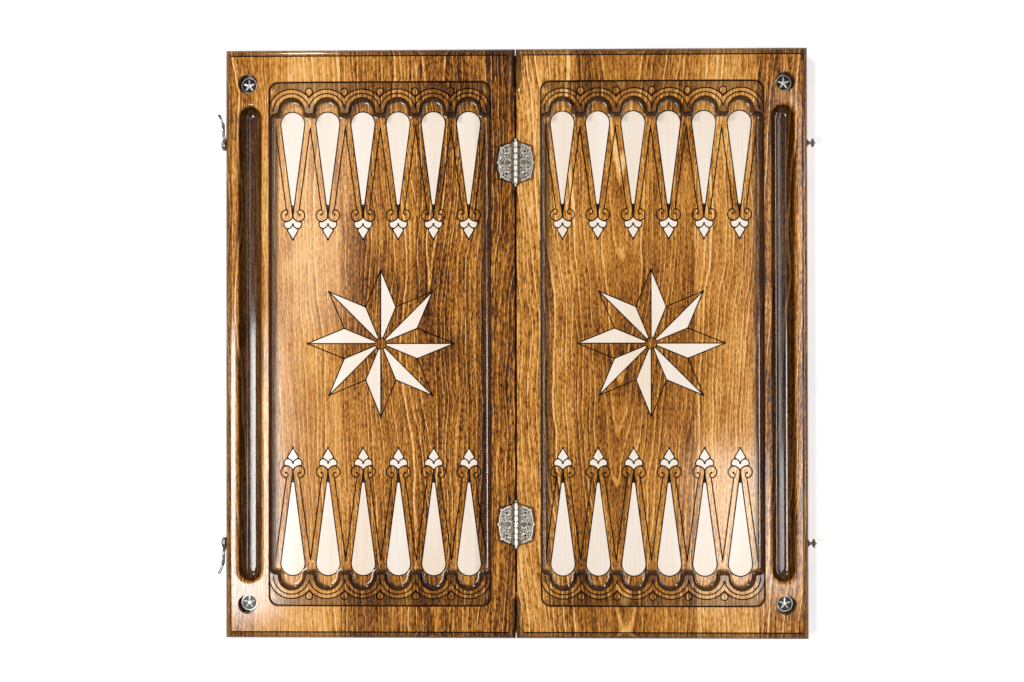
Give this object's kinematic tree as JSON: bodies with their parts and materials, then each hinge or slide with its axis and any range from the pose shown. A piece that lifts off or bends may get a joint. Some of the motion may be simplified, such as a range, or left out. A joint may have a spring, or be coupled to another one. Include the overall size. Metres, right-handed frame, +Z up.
{
  "type": "backgammon board",
  "caption": "Carved wooden backgammon case that opens flat on box hinges, with inlaid points and stars, piece troughs, dice wells and side hooks.",
  "frame": {"origin": "underside of the open case, middle of the seam and of its length", "axes": "+X across the halves towards the studs, +Y along the seam, +Z up out of the playing faces"},
  "size_m": [0.6176, 0.608, 0.0326],
  "materials": {
    "case_wood": "stained, lacquered, semi-gloss",
    "inlay_wood": "pale veneer under lacquer",
    "hinge_metal": "antique silver plate",
    "catch_metal": "dark antique silver plate",
    "medallion_metal": "polished with a dark ground"
  },
  "bodies": {
    "left_half": {"left_board": "case_wood", "left_far_point_1": "inlay_wood", "left_far_point_2": "inlay_wood", "left_far_point_3": "inlay_wood", "left_far_point_4": "inlay_wood", "left_far_point_5": "inlay_wood", "left_far_point_6": "inlay_wood", "left_far_finials": "inlay_wood", "left_far_medallion": "medallion_metal", "left_near_point_1": "inlay_wood", "left_near_point_2": "inlay_wood", "left_near_point_3": "inlay_wood", "left_near_point_4": "inlay_wood", "left_near_point_5": "inlay_wood", "left_near_point_6": "inlay_wood", "left_near_finials": "inlay_wood", "left_near_medallion": "medallion_metal", "left_star_blades": "inlay_wood", "far_hinge_left_leaf": "hinge_metal", "far_hinge_left_nails": "hinge_metal", "far_hinge_pin": "hinge_metal", "far_hinge_cap": "hinge_metal", "far_hook_pin": "catch_metal", "far_hook_washer": "catch_metal", "near_hinge_left_leaf": "hinge_metal", "near_hinge_left_nails": "hinge_metal", "near_hinge_pin": "hinge_metal", "near_hinge_cap": "hinge_metal", "near_hook_pin": "catch_metal", "near_hook_washer": "catch_metal"},
    "right_half": {"right_board": "case_wood", "right_far_point_1": "inlay_wood", "right_far_point_2": "inlay_wood", "right_far_point_3": "inlay_wood", "right_far_point_4": "inlay_wood", "right_far_point_5": "inlay_wood", "right_far_point_6": "inlay_wood", "right_far_finials": "inlay_wood", "right_far_medallion": "medallion_metal", "right_near_point_1": "inlay_wood", "right_near_point_2": "inlay_wood", "right_near_point_3": "inlay_wood", "right_near_point_4": "inlay_wood", "right_near_point_5": "inlay_wood", "right_near_point_6": "inlay_wood", "right_near_finials": "inlay_wood", "right_near_medallion": "medallion_metal", "right_star_blades": "inlay_wood", "far_hinge_right_leaf": "hinge_metal", "far_hinge_right_nails": "hinge_metal", "far_catch_stud": "catch_metal", "near_hinge_right_leaf": "hinge_metal", "near_hinge_right_nails": "hinge_metal", "near_catch_stud": "catch_metal"},
    "far_hook": {"far_hook": "catch_metal"},
    "near_hook": {"near_hook": "catch_metal"}
  },
  "joints": [
    {"name": "board_fold", "type": "hinge", "parent": "left_half", "child": "right_half", "pos_m": [0, 0, 0.03015], "axis": [0, -1, 0], "range_deg": [0, 180]},
    {"name": "far_hook_swing", "type": "hinge", "parent": "left_half", "child": "far_hook", "pos_m": [-0.3, 0.206, 0.02185], "axis": [1, 0, 0], "range_deg": [-30, 90]},
    {"name": "near_hook_swing", "type": "hinge", "parent": "left_half", "child": "near_hook", "pos_m": [-0.3, -0.206, 0.02185], "axis": [-1, 0, 0], "range_deg": [-30, 90]}
  ]
}
